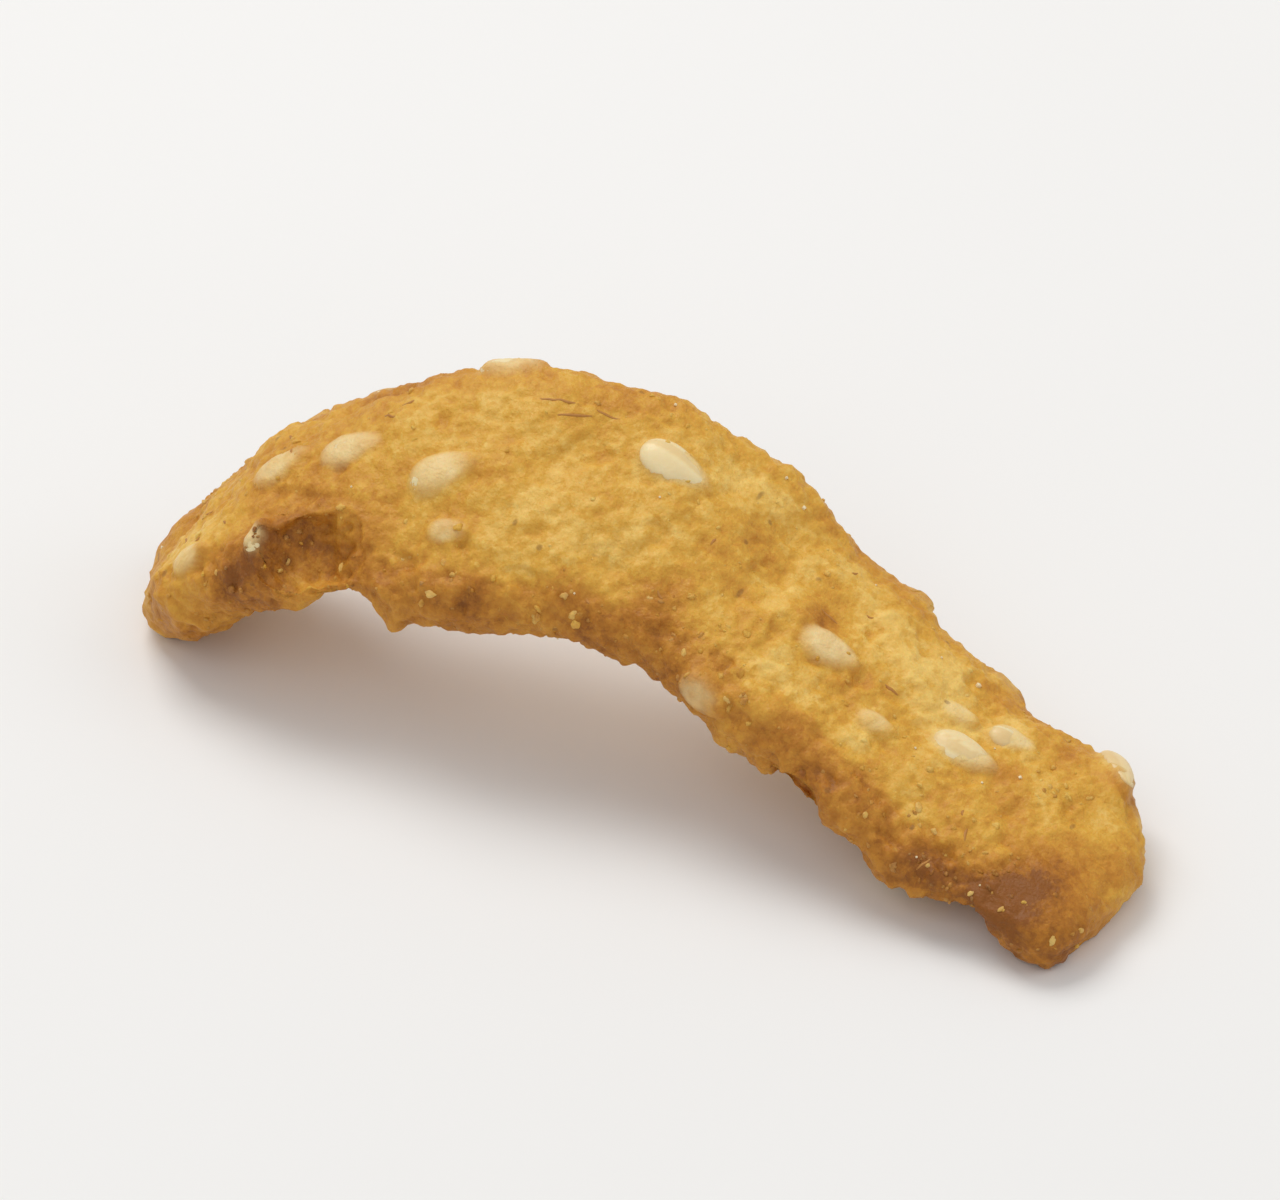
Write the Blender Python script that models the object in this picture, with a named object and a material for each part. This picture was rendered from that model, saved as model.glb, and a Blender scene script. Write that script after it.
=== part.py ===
"""Sesame stick: a fried ribbon of dough, bowed up in the middle, with sesame seeds held in its skin.

The ribbon runs along +X, bows a little towards +Y in the middle and arches in +Z. It stands on its two
ends, each worn to a small flat foot. The origin is under the middle of its box. Sizes are in millimetres
and angles in degrees up to the last step, which brings the mesh to metres.

A distance along the ribbon starts at its left end. An angle round it is 0 at the back edge, 90 on the
middle of the top face, 180 at the front edge and 270 underneath.
"""
import math
import random

import bmesh
import bpy
import numpy as np
from mathutils import Matrix, Vector, noise
from mathutils.bvhtree import BVHTree

NAME = "stick"
MILLIMETRE = 0.001

# The ribbon: each curve is ((distance along, value), ...), eased from one stop to the next.
LENGTH = 46.7
WIDTH = ((5.4, 9.0), (19.6, 10.7), (33.9, 10.2))
THICKNESS = ((5.4, 3.7), (19.6, 3.7), (33.9, 3.8))
HEADING = ((5.4, 6.0), (21.4, 16.0), (33.9, -12.5))
PITCH = ((4.5, 47.0), (15.2, 9.5), (28.6, -26.0), (42.0, -14.0))
ROLL = ((5.4, 8.0), (19.6, 26.5), (33.9, -2.5))
# The middle line is added up in steps of SPINE_STEP, from OVERRUN before one end to OVERRUN past the other.
SPINE_STEP = 0.1
OVERRUN = 4.0

# How square the cross-section and the two ends are: 2 is an ellipse, more is boxier.
SECTION_POWER = 2.7
LEFT_END_POWER = 4.6
RIGHT_END_POWER = 4.6
# How far each end is cut askew, in mm along the ribbon for each mm towards the back edge.
LEFT_SLANT = -0.22
RIGHT_SLANT = -0.07
SLANT_REACH = 12.5

# The floor in the ribbon's own heights, just above its lowest point, and the middle of its box.
FLOOR = -0.15
MIDDLE_X = 20.407
MIDDLE_Y = 2.718

# Relief of the fried skin: (size, height) of each layer of bumps. BUMP_SHIFT keeps the layers apart.
BUMPS = ((4.6, 0.36), (2.2, 0.26))
BUMP_SHIFT = 10.0
# Single lumps and dents: (along, round, reach, height).
LUMPS = (
    (1.2, 170.0, 2.6, 0.8),
    (2.6, 305.0, 2.0, 0.5),
    (5.4, 165.0, 1.0, 0.35),
    (6.4, 166.0, 2.2, -0.45),
    (8.0, 200.0, 2.0, 0.6),
    (9.2, 128.0, 1.0, 0.25),
    (12.4, 212.0, 1.4, -1.2),
    (14.2, 140.0, 1.8, -0.5),
    (14.4, 198.0, 1.0, 0.65),
    (16.0, 150.0, 1.2, 0.3),
    (17.3, 25.0, 3.4, 0.4),
    (20.6, 22.0, 2.2, 0.4),
    (21.5, 188.0, 2.6, -0.25),
    (23.1, 22.0, 1.8, 0.5),
    (26.8, 25.0, 1.9, 0.4),
    (30.1, 95.0, 0.9, 0.3),
    (31.0, 86.0, 0.9, -0.3),
    (32.6, 170.0, 2.0, 0.4),
    (37.4, 172.0, 1.3, 0.4),
    (39.2, 150.0, 2.2, -0.5),
    (40.6, 202.0, 1.8, 0.75),
    (41.6, 172.0, 1.4, -0.4),
    (43.2, 196.0, 1.4, 0.85),
    (43.2, 148.0, 2.6, -0.55),
    (43.4, 318.0, 2.3, 0.55),
    (45.3, 210.0, 2.2, -1.15),
    (45.8, 27.0, 2.0, 0.7),
    (46.0, 60.0, 2.2, -0.3),
    (46.4, 160.0, 2.2, 0.4),
)
# Hollows, each as an uneven ball would press it: (along, round, lift, radius), where lift is how far
# outside the skin the middle of the ball is. Its bumps are HOLLOW_BUMP across and HOLLOW_RISE high.
HOLLOWS = (
    (11.6, 138.0, 1.9, 3.25),
    (35.4, 203.0, 0.45, 1.6),
)
HOLLOW_BUMP = 2.2
HOLLOW_RISE = 0.3

SEED_LENGTH = 2.8
SEED_WIDTH = 1.6
SEED_THICKNESS = 0.9
SEED_TAPER = 0.28
SEED_SIDES = 6
SEED_RINGS = 4
# Seeds on the face that shows: (along, round, turn, size, proud). A turn of 0 lies along the ribbon, a
# size of 1 is a whole seed, and proud is how far the seed stands out of the skin.
SHOWN_SEEDS = (
    (4.3, 133.0, 11.0, 0.7, 0.14),
    (9.0, 131.0, 66.0, 0.5, 0.34),
    (9.0, 86.0, 30.0, 0.95, 0.2),
    (11.9, 79.0, 18.0, 1.0, 0.25),
    (15.9, 88.0, 30.0, 1.05, 0.3),
    (16.6, 114.0, 8.0, 0.65, 0.08),
    (17.3, 25.0, 0.0, 1.0, 0.3),
    (23.5, 67.0, -13.0, 1.05, 0.38),
    (29.8, 165.0, -6.0, 0.8, 0.22),
    (32.0, 99.0, 17.0, 0.95, 0.28),
    (35.7, 108.0, 17.0, 0.6, 0.1),
    (37.4, 72.0, 25.0, 0.6, 0.1),
    (39.1, 86.0, 16.0, 1.0, 0.38),
    (40.0, 62.0, 20.0, 0.7, 0.2),
    (45.3, 28.0, -41.0, 0.95, 0.44),
)
# Seeds on the back and underneath are drawn at random, no nearer together than SEED_SPACING and at least
# SEED_MARGIN from the ends. They keep to where the skin faces away from SHOWN_SIDE by SHOWN_MARGIN or more.
HIDDEN_SEEDS = 20
HIDDEN_PROUD = (0.25, 0.45)
SEED_SPACING = 4.0
SEED_MARGIN = 6.5
SEED_DRAW = 11
SEED_TRIES = 600
SHOWN_SIDE = (0.41, -0.67, 0.62)
SHOWN_MARGIN = 0.55
# How far outside the skin a seed's place is looked up from.
RAY_START = 3.0

# Cells of the box that the skin is made from: along, across and through.
CELLS = (60, 14, 5)
# Edges shorter than SLIVER are closed up, and FLOOR_DEPTH is how thick the block is that cuts the feet.
SLIVER = 0.01
FLOOR_DEPTH = 4.0

DOUGH_COLOUR = (0.68, 0.39, 0.10, 1.0)
DOUGH_ROUGHNESS = 0.55


def eased(stops, along):
    """The value of a curve at a distance along the ribbon."""
    value = stops[0][1]
    for (start, low), (end, high) in zip(stops, stops[1:]):
        step = np.clip((along - start) / (end - start), 0.0, 1.0)
        value = value + (high - low) * step * step * (3.0 - 2.0 * step)
    return value


def ribbon_frame(along):
    """The ribbon's middle line at some distances along it, with its backward and upward directions."""
    table = np.arange(-OVERRUN, LENGTH + OVERRUN, SPINE_STEP)
    heading = np.radians(eased(HEADING, table))
    pitch = np.radians(eased(PITCH, table))
    flat = np.cos(pitch)
    steps = np.stack((flat * np.cos(heading), flat * np.sin(heading), np.sin(pitch)), axis=1) * SPINE_STEP
    line = np.cumsum(steps, axis=0)
    line -= line[round(OVERRUN / SPINE_STEP)]
    middle = np.stack([np.interp(along, table, line[:, axis]) for axis in range(3)], axis=1)
    heading = np.radians(eased(HEADING, along))
    pitch = np.radians(eased(PITCH, along))
    roll = np.radians(eased(ROLL, along))[:, None]
    level = np.stack((-np.sin(heading), np.cos(heading), np.zeros_like(heading)), axis=1)
    flat = np.cos(pitch)
    forward = np.stack((flat * np.cos(heading), flat * np.sin(heading), np.sin(pitch)), axis=1)
    lift = np.cross(forward, level)
    back = level * np.cos(roll) + lift * np.sin(roll)
    up = lift * np.cos(roll) - level * np.sin(roll)
    return middle, back, up


def skin(box):
    """Carries points on a box with sides at -1 and 1 to the stick's smooth skin."""
    a, b, c = box.T
    ring = np.maximum(np.abs(b), np.abs(c))
    section = (np.abs(b) ** SECTION_POWER + np.abs(c) ** SECTION_POWER) ** (1.0 / SECTION_POWER)
    power = np.where(a < 0.0, LEFT_END_POWER, RIGHT_END_POWER)
    rounding = (np.abs(a) ** power + ring ** power) ** (-1.0 / power)
    scale = rounding * ring / np.maximum(section, 1e-9)
    along = (a * rounding + 1.0) * LENGTH / 2.0
    across = b * scale * eased(WIDTH, along) / 2.0
    height = c * scale * eased(THICKNESS, along) / 2.0
    left = eased(((0.0, LEFT_SLANT), (SLANT_REACH, 0.0)), along)
    right = eased(((LENGTH - SLANT_REACH, 0.0), (LENGTH, RIGHT_SLANT)), along)
    middle, back, up = ribbon_frame(along + across * (left + right))
    return middle + back * across[:, None] + up * height[:, None]


def spot(along, around):
    """A point of the smooth skin, its outward direction and the direction along the ribbon there."""
    angle = math.radians(around)
    reach = max(abs(math.cos(angle)), abs(math.sin(angle)))
    a = 2.0 * along / LENGTH - 1.0
    b = math.cos(angle) / reach
    c = math.sin(angle) / reach
    a_step = 0.01
    beside = math.radians(around + 1.0)
    beside_reach = max(abs(math.cos(beside)), abs(math.sin(beside)))
    near = np.array((
        (a, b, c),
        (a + a_step, b, c),
        (a, math.cos(beside) / beside_reach, math.sin(beside) / beside_reach),
    ))
    here, ahead, round_it = (Vector(point) for point in skin(near))
    forward = (ahead - here).normalized()
    outward = (round_it - here).cross(forward).normalized()
    return here, outward, forward


def make_collection(name):
    collection = bpy.data.collections.new(name)
    bpy.context.scene.collection.children.link(collection)
    return collection


def add_object(name, bm, collection):
    mesh = bpy.data.meshes.new(name)
    bm.to_mesh(mesh)
    bm.free()
    piece = bpy.data.objects.new(name, mesh)
    collection.objects.link(piece)
    return piece


def cut_box(cells):
    """A box with sides at -1 and 1, cut into cells along each axis."""
    bm = bmesh.new()
    bmesh.ops.create_cube(bm, size=2.0)
    for axis, count in enumerate(cells):
        edges = [edge for edge in bm.edges if abs((edge.verts[0].co - edge.verts[1].co)[axis]) > 1e-6]
        bmesh.ops.subdivide_edges(bm, edges=edges, cuts=count - 1, use_grid_fill=True)
    return bm


def relief(point, lumps):
    """How far the fried skin stands out of the smooth one at a point."""
    height = 0.0
    for layer, (size, rise) in enumerate(BUMPS):
        height += rise * noise.noise(point / size + Vector((0.0, 0.0, BUMP_SHIFT * layer)))
    for centre, reach, rise in lumps:
        height += rise * math.exp(-((point - centre).length / reach) ** 2)
    return height


def press_hollows(verts):
    """Moves points that are inside a hollow's uneven ball out to its surface."""
    for along, around, lift, radius in HOLLOWS:
        here, outward, _ = spot(along, around)
        middle = here + outward * lift
        for vert in verts:
            away = vert.co - middle
            reach = radius + HOLLOW_RISE * noise.noise(vert.co / HOLLOW_BUMP)
            if away.length < reach:
                vert.co = middle + away.normalized() * reach


def dough_mesh():
    """The ribbon of dough with its fried relief, without seeds."""
    bm = cut_box(CELLS)
    places = skin(np.array([vert.co[:] for vert in bm.verts]))
    for vert, place in zip(bm.verts, places):
        vert.co = place
    bm.normal_update()
    lumps = [(spot(along, around)[0], reach, rise) for along, around, reach, rise in LUMPS]
    moves = [vert.normal * relief(vert.co, lumps) for vert in bm.verts]
    for vert, move in zip(bm.verts, moves):
        vert.co += move
    press_hollows(bm.verts)
    bm.normal_update()
    return bm


def hidden_seeds():
    """Random places for the seeds on the sides that don't show, evenly spaced and clear of the hollows."""
    draw = random.Random(SEED_DRAW)
    taken = [spot(place[0], place[1])[0] for place in SHOWN_SEEDS + HOLLOWS]
    seeds = []
    for _ in range(SEED_TRIES):
        along = draw.uniform(SEED_MARGIN, LENGTH - SEED_MARGIN)
        around = draw.uniform(0.0, 360.0)
        turn = draw.uniform(-90.0, 90.0)
        proud = draw.uniform(*HIDDEN_PROUD)
        here, outward, _ = spot(along, around)
        if len(seeds) == HIDDEN_SEEDS or outward.dot(Vector(SHOWN_SIDE)) > -SHOWN_MARGIN:
            continue
        if any((here - other).length < SEED_SPACING for other in taken):
            continue
        taken.append(here)
        seeds.append((along, around, turn, 1.0, proud))
    return seeds


def add_seed(name, place, dough, collection):
    """One flat, drop-shaped seed, sunk in the dough."""
    along, around, turn, size, proud = place
    here, outward, forward = spot(along, around)
    hit = dough.ray_cast(here + outward * RAY_START, -outward)[0]
    bm = bmesh.new()
    bmesh.ops.create_uvsphere(bm, u_segments=SEED_SIDES, v_segments=SEED_RINGS, radius=0.5)
    for vert in bm.verts:
        slim = 1.0 - SEED_TAPER * 2.0 * vert.co.z
        x, y, z = vert.co
        vert.co = (z * SEED_LENGTH, x * slim * SEED_WIDTH, y * slim * SEED_THICKNESS)
    side = outward.cross(forward).normalized()
    forward = side.cross(outward)
    axes = Matrix((forward, side, outward)).transposed().to_4x4()
    spin = Matrix.Rotation(math.radians(turn), 4, "Z")
    centre = hit + outward * (proud - size * SEED_THICKNESS / 2.0)
    bm.transform(Matrix.Translation(centre) @ axes @ spin @ Matrix.Scale(size, 4))
    return add_object(name, bm, collection)


def add_seeds(bm):
    """All the seeds, in a collection of their own."""
    dough = BVHTree.FromBMesh(bm)
    collection = make_collection("seeds")
    places = list(SHOWN_SEEDS) + hidden_seeds()
    for number, place in enumerate(places):
        add_seed(f"seed_{number}", place, dough, collection)
    return collection


def apply_modifiers(piece):
    """Swaps an object's mesh for the one its modifiers make."""
    evaluated = piece.evaluated_get(bpy.context.evaluated_depsgraph_get())
    mesh = bpy.data.meshes.new_from_object(evaluated)
    piece.modifiers.clear()
    piece.data = mesh


def fuse(piece, collection):
    """Joins a collection's objects to a piece as one body, and removes them."""
    union = piece.modifiers.new("fuse", "BOOLEAN")
    union.operation = "UNION"
    union.operand_type = "COLLECTION"
    union.collection = collection
    union.solver = "EXACT"
    apply_modifiers(piece)
    for other in list(collection.objects):
        bpy.data.objects.remove(other)
    bpy.data.collections.remove(collection)


def wear_feet(piece, cutters):
    """Cuts the ends flat where the stick stands."""
    bm = bmesh.new()
    bmesh.ops.create_cube(bm, size=1.0)
    bm.transform(Matrix.Diagonal((2.0 * LENGTH, 2.0 * LENGTH, FLOOR_DEPTH, 1.0)))
    floor = add_object("floor_block", bm, cutters)
    floor.location = (MIDDLE_X, MIDDLE_Y, FLOOR - FLOOR_DEPTH / 2.0)
    floor.hide_render = True
    floor.display_type = "WIRE"
    bpy.context.view_layer.update()
    cut = piece.modifiers.new("feet", "BOOLEAN")
    cut.operation = "DIFFERENCE"
    cut.object = floor
    cut.solver = "EXACT"
    apply_modifiers(piece)
    bpy.data.objects.remove(floor)


def drop_slivers(piece):
    """Closes up the tiny edges that the joining left."""
    bm = bmesh.new()
    bm.from_mesh(piece.data)
    bmesh.ops.dissolve_degenerate(bm, dist=SLIVER, edges=bm.edges)
    bm.to_mesh(piece.data)
    bm.free()


def dough_material():
    material = bpy.data.materials.new("fried_dough")
    material.use_nodes = True
    shader = material.node_tree.nodes["Principled BSDF"]
    shader.inputs["Base Color"].default_value = DOUGH_COLOUR
    shader.inputs["Roughness"].default_value = DOUGH_ROUGHNESS
    shader.inputs["Metallic"].default_value = 0.0
    return material


def main():
    for old in list(bpy.data.objects):
        bpy.data.objects.remove(old)
    parts = make_collection("sesame_stick")
    cutters = make_collection("cutters")
    bm = dough_mesh()
    seeds = add_seeds(bm)
    stick = add_object(NAME, bm, parts)
    fuse(stick, seeds)
    wear_feet(stick, cutters)
    drop_slivers(stick)
    bpy.data.collections.remove(cutters)
    to_origin = Matrix.Translation((-MIDDLE_X, -MIDDLE_Y, -FLOOR))
    stick.data.transform(Matrix.Scale(MILLIMETRE, 4) @ to_origin)
    stick.data.materials.clear()
    stick.data.materials.append(dough_material())


main()
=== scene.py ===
"""Sesame stick, dressed: the fried skin with its grain, its seeds, crumbs, salt and flecks of bran.

The form is the one the solid has, worked out again from the same sizes and made fine. Sizes are in
millimetres and angles in degrees up to place(), which brings a mesh to metres and to the frame's origin.

A distance along the ribbon starts at its left end. An angle round it is 0 at the back edge, 90 on the
middle of the top face, 180 at the front edge and 270 underneath.
"""
import math
import random

import bmesh
import bpy
import numpy as np
from mathutils import Matrix, Vector, noise
from mathutils.bvhtree import BVHTree


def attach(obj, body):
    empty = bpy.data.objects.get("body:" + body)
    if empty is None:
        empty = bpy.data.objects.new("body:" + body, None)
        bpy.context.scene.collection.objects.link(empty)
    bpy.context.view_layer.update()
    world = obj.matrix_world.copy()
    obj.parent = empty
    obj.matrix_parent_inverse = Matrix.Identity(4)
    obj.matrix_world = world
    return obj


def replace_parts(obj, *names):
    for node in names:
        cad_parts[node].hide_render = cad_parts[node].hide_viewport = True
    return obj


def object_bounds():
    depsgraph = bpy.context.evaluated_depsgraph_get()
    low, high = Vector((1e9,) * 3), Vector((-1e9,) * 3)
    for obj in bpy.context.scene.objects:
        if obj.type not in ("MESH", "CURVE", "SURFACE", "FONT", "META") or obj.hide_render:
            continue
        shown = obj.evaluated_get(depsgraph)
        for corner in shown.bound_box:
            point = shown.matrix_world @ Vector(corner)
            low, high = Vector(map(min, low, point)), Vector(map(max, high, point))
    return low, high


MILLIMETRE = 0.001
NODE = "stick"
BODY = "root"

# The ribbon: each curve is ((distance along, value), ...), eased from one stop to the next.
LENGTH = 46.7
WIDTH = ((5.4, 9.0), (19.6, 10.7), (33.9, 10.2))
THICKNESS = ((5.4, 3.7), (19.6, 3.7), (33.9, 3.8))
HEADING = ((5.4, 6.0), (21.4, 16.0), (33.9, -12.5))
PITCH = ((4.5, 47.0), (15.2, 9.5), (28.6, -26.0), (42.0, -14.0))
ROLL = ((5.4, 8.0), (19.6, 26.5), (33.9, -2.5))
# The steps that the middle line is worked out in, and how far it runs on past both ends.
SPINE_STEP = 0.1
OVERRUN = 4.0
SECTION_POWER = 2.7
LEFT_END_POWER = 4.6
RIGHT_END_POWER = 4.6
LEFT_SLANT = -0.22
RIGHT_SLANT = -0.07
SLANT_REACH = 12.5
# Where the frame's origin is: level with the feet, under the middle of the solid's box.
FLOOR = -0.15
MIDDLE_X = 20.407
MIDDLE_Y = 2.718
# How far apart the points are that tell which way the skin faces: along the box, and in degrees round it.
SPOT_STEP = 0.01
SPOT_TURN = 1.0

# Relief that the solid has too: (size, height) of each layer of bumps, and single lumps and dents as
# (along, round, reach, height).
BUMPS = ((4.6, 0.36), (2.2, 0.26))
LUMPS = (
    (1.2, 170.0, 2.6, 0.8),
    (2.6, 305.0, 2.0, 0.5),
    (5.4, 165.0, 1.0, 0.35),
    (6.4, 166.0, 2.2, -0.45),
    (8.0, 200.0, 2.0, 0.6),
    (9.2, 128.0, 1.0, 0.25),
    (12.4, 212.0, 1.4, -1.2),
    (14.2, 140.0, 1.8, -0.5),
    (14.4, 198.0, 1.0, 0.65),
    (16.0, 150.0, 1.2, 0.3),
    (17.3, 25.0, 3.4, 0.4),
    (20.6, 22.0, 2.2, 0.4),
    (21.5, 188.0, 2.6, -0.25),
    (23.1, 22.0, 1.8, 0.5),
    (26.8, 25.0, 1.9, 0.4),
    (30.1, 95.0, 0.9, 0.3),
    (31.0, 86.0, 0.9, -0.3),
    (32.6, 170.0, 2.0, 0.4),
    (37.4, 172.0, 1.3, 0.4),
    (39.2, 150.0, 2.2, -0.5),
    (40.6, 202.0, 1.8, 0.75),
    (41.6, 172.0, 1.4, -0.4),
    (43.2, 196.0, 1.4, 0.85),
    (43.2, 148.0, 2.6, -0.55),
    (43.4, 318.0, 2.3, 0.55),
    (45.3, 210.0, 2.2, -1.15),
    (45.8, 27.0, 2.0, 0.7),
    (46.0, 60.0, 2.2, -0.3),
    (46.4, 160.0, 2.2, 0.4),
)
# Hollows, each as an uneven ball would press it: (along, round, lift, radius), where lift is how far
# outside the skin the middle of the ball is. Its bumps are HOLLOW_BUMP across and HOLLOW_RISE high.
HOLLOWS = (
    (11.6, 138.0, 1.9, 3.25),
    (35.4, 203.0, 0.45, 1.6),
)
HOLLOW_BUMP = 2.2
HOLLOW_RISE = 0.3
# Relief too fine for the solid: (size, height) of each layer of small round lumps with creases between,
# of grain, and of the rougher relief that makes the dough crumbly in the hollows, and less so down the
# front edge and underneath. Pits are the deep places of one more layer. The shifts keep layers apart.
PEBBLES = ((1.6, 0.07), (0.8, 0.045))
PEBBLE_CREASE = 0.4
PEBBLE_SHIFT = 60.0
GRAIN = ((0.5, 0.09), (0.3, 0.08))
GRAIN_SHIFT = 100.0
CRUMBLE = ((1.0, 0.3), (0.5, 0.26))
CRUMBLE_SHIFT = 140.0
EDGE_CRUMBLE = 0.55
EDGE_CRUMBLE_BAND = (0.7, 1.0)
SUNK_BAND = (0.0, 0.5)
PIT_SIZE = 1.3
PIT_DEPTH = 0.14
PIT_BAND = (0.30, 0.55)
PIT_SHIFT = 200.0
LAYER_SHIFT = 10.0
# How far outside the skin a ray starts that looks for a place on it.
RAY_START = 3.0

SEED_LENGTH = 2.8
SEED_WIDTH = 1.6
SEED_THICKNESS = 0.9
SEED_TAPER = 0.28
SEED_SIDES = 32
SEED_RINGS = 20
# What makes each seed a little different: its length, its bumps and the ridge down its middle.
SEED_STRETCH = (0.94, 1.03)
SEED_BUMP = 0.8
SEED_BUMP_HEIGHT = 0.05
SEED_RIDGE = 0.03
SHAPE_DRAW = 21
# Seeds on the face that shows: (along, round, turn, size, proud, film). Film is how thick the dough lies
# over the seed, and less than nothing where the seed is bare.
SHOWN_SEEDS = (
    (4.3, 133.0, 11.0, 0.7, 0.14, 0.08),
    (9.0, 131.0, 66.0, 0.5, 0.34, 0.09),
    (9.0, 86.0, 30.0, 0.95, 0.2, 0.08),
    (11.9, 79.0, 18.0, 1.0, 0.25, 0.05),
    (15.9, 88.0, 30.0, 1.05, 0.3, 0.08),
    (16.6, 114.0, 8.0, 0.65, 0.08, 0.12),
    (17.3, 25.0, 0.0, 1.0, 0.3, 0.03),
    (23.5, 67.0, -13.0, 1.05, 0.38, -0.06),
    (29.8, 165.0, -6.0, 0.8, 0.22, 0.13),
    (32.0, 99.0, 17.0, 0.95, 0.28, 0.03),
    (35.7, 108.0, 17.0, 0.6, 0.1, 0.1),
    (37.4, 72.0, 25.0, 0.6, 0.1, 0.11),
    (39.1, 86.0, 16.0, 1.0, 0.38, -0.05),
    (40.0, 62.0, 20.0, 0.7, 0.2, 0.03),
    (45.3, 28.0, -41.0, 0.95, 0.44, -0.1),
)
# The seeds on the sides that don't show: how many at most, how far apart, how far from the ends.
HIDDEN_SEEDS = 20
SEED_SPACING = 4.0
SEED_MARGIN = 6.5
SEED_DRAW = 11
SEED_TRIES = 600
SHOWN_SIDE = (0.41, -0.67, 0.62)
SHOWN_MARGIN = 0.55
HIDDEN_PROUD = (0.25, 0.45)
HIDDEN_FILM = (-0.12, 0.08)
FILM_DRAW = 5
# How softly the dough meets a seed, how much thicker its film is over the seed's pointed end, and how
# uneven the film is: (size, height, shift) of each layer.
COLLAR = 0.2
TIP_FILM = 0.15
FILM_LAYERS = ((0.9, 0.09, 70.0), (0.42, 0.05, 75.0))
# How far from a seed's middle the dough is changed, in seeds' half widths and in millimetres of height,
# and how steeply it falls away outside the seed.
SEED_REACH = 1.5
SEED_HEIGHT = 1.2
SEED_SKIRT = 1.4
# Between these thicknesses of film, and these reaches from its middle, a seed fades from sight.
FILM_SEEN = (0.03, 0.3)
SEED_SEEN = (0.55, 1.2)

# Crumbs that show: (along, round, size). Smaller ones lie beside each, and the others are strewn. Past
# the ribbon's length a distance along goes on over its end.
SHOWN_CRUMBS = (
    (20.3, 157.0, 0.44),
    (21.9, 144.0, 0.36),
    (16.3, 146.0, 0.36),
    (14.9, 129.0, 0.26),
    (17.0, 133.0, 0.24),
    (21.4, 134.0, 0.24),
    (24.8, 125.0, 0.28),
    (30.8, 154.0, 0.3),
    (31.4, 146.0, 0.36),
    (27.6, 146.0, 0.3),
    (38.4, 150.0, 0.24),
    (39.8, 123.0, 0.34),
    (41.2, 126.0, 0.3),
    (42.2, 150.0, 0.22),
    (45.4, 146.0, 0.26),
    (48.5, 143.0, 0.24),
    (60.0, 150.0, 0.26),
    (72.0, 133.0, 0.34),
    (43.6, 69.0, 0.26),
    (9.6, 142.0, 0.3),
    (12.2, 144.0, 0.3),
    (6.2, 151.0, 0.28),
    (9.2, 167.0, 0.24),
    (1.0, 62.0, 0.34),
    (2.8, 55.0, 0.36),
    (5.0, 50.0, 0.36),
)
SHOWN_CRUMB_TONE = 0.42
# The crumbs that show are paler than the rest: partly their own colour and partly a painted highlight.
SHOWN_CRUMB_PALE_AND_GLINT = 0.22
CRUMB_PALE = 0.16
CRUMB_TONE_SPREAD = 0.12
CRUMB_SINK = (-0.3, 0.0)
CRUMB_STRETCH = ((0.9, 1.4), (0.7, 1.1), (0.6, 0.9))
CRUMB_LUMP = 0.6
CRUMB_DRAW = 33
CRUMB_NEIGHBOURS = 3
NEIGHBOUR_REACH = 0.75
NEIGHBOUR_BROWN = 0.45
NEIGHBOUR_SIZE = (0.45, 0.85)
RANDOM_CRUMBS = 900
CRUMB_LEAST = 0.1
CRUMB_SPREAD = 0.2
LARGE_CRUMB = 0.26
SALT_GRAINS = 34
SALT_LEAST = 0.07
SALT_SPREAD = 0.1
SALT_TILT = 0.6
SALT_LIFT = 0.15
SALT_BEVEL = 0.18
SALT_DRAW = 44
# Slivers of bran that show: (along, round, length, turn). The others are strewn.
SHOWN_BRAN = (
    (13.1, 64.0, 0.8, -20.0),
    (19.4, 51.0, 1.7, 2.0),
    (20.0, 56.0, 1.5, 12.0),
    (21.0, 52.0, 1.1, -8.0),
    (34.9, 90.0, 0.7, 10.0),
    (30.9, 84.0, 0.9, 4.0),
)
BRAN_FLECKS = 40
BRAN_LEAST = 0.3
BRAN_SPREAD = 0.7
BRAN_WIDTH = 0.12
BRAN_THICKNESS = 0.1
BRAN_TAPER = 0.3
BRAN_SIDES = 8
BRAN_RINGS = 10
BRAN_BOW = 0.25
BRAN_SINK = 0.015
BRAN_DRAW = 55
# How far above the floor loose bits may start.
CLEARANCE = 0.35

# How brown the crust is, from 0 to 1, and how much more so in each place. The grain carries painted shade
# and painted light: the crust is browner for each millimetre that its grain is deep and paler where it
# stands high. A band is where a place begins and where it is full, on the box with sides at 1.
BASE_BROWN = 0.31
FRONT_EDGE_BROWN = 0.30
BACK_EDGE_BROWN = 0.22
EDGE_BAND = (0.74, 1.0)
EDGE_TOP_PALER = 0.3
UNDER_BROWN = 0.16
TIP_BROWN = 0.14
FAR_BAND = (0.9, 1.0)
# Painted shade in the grain's lows and painted light on its highs, for each millimetre of grain height.
GRAIN_PAINTED_SHADE = 0.5
# Uneven browning: (size, amount, shift) of wide clouds, and of blotches that are stronger to the right.
CLOUDS = (5.0, 0.20, 31.0)
BLOTCHES = (1.9, 0.13, 47.0)
RIGHT_BLOTCHES = 0.16
RIGHT_BAND = (0.0, 0.4)
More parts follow.
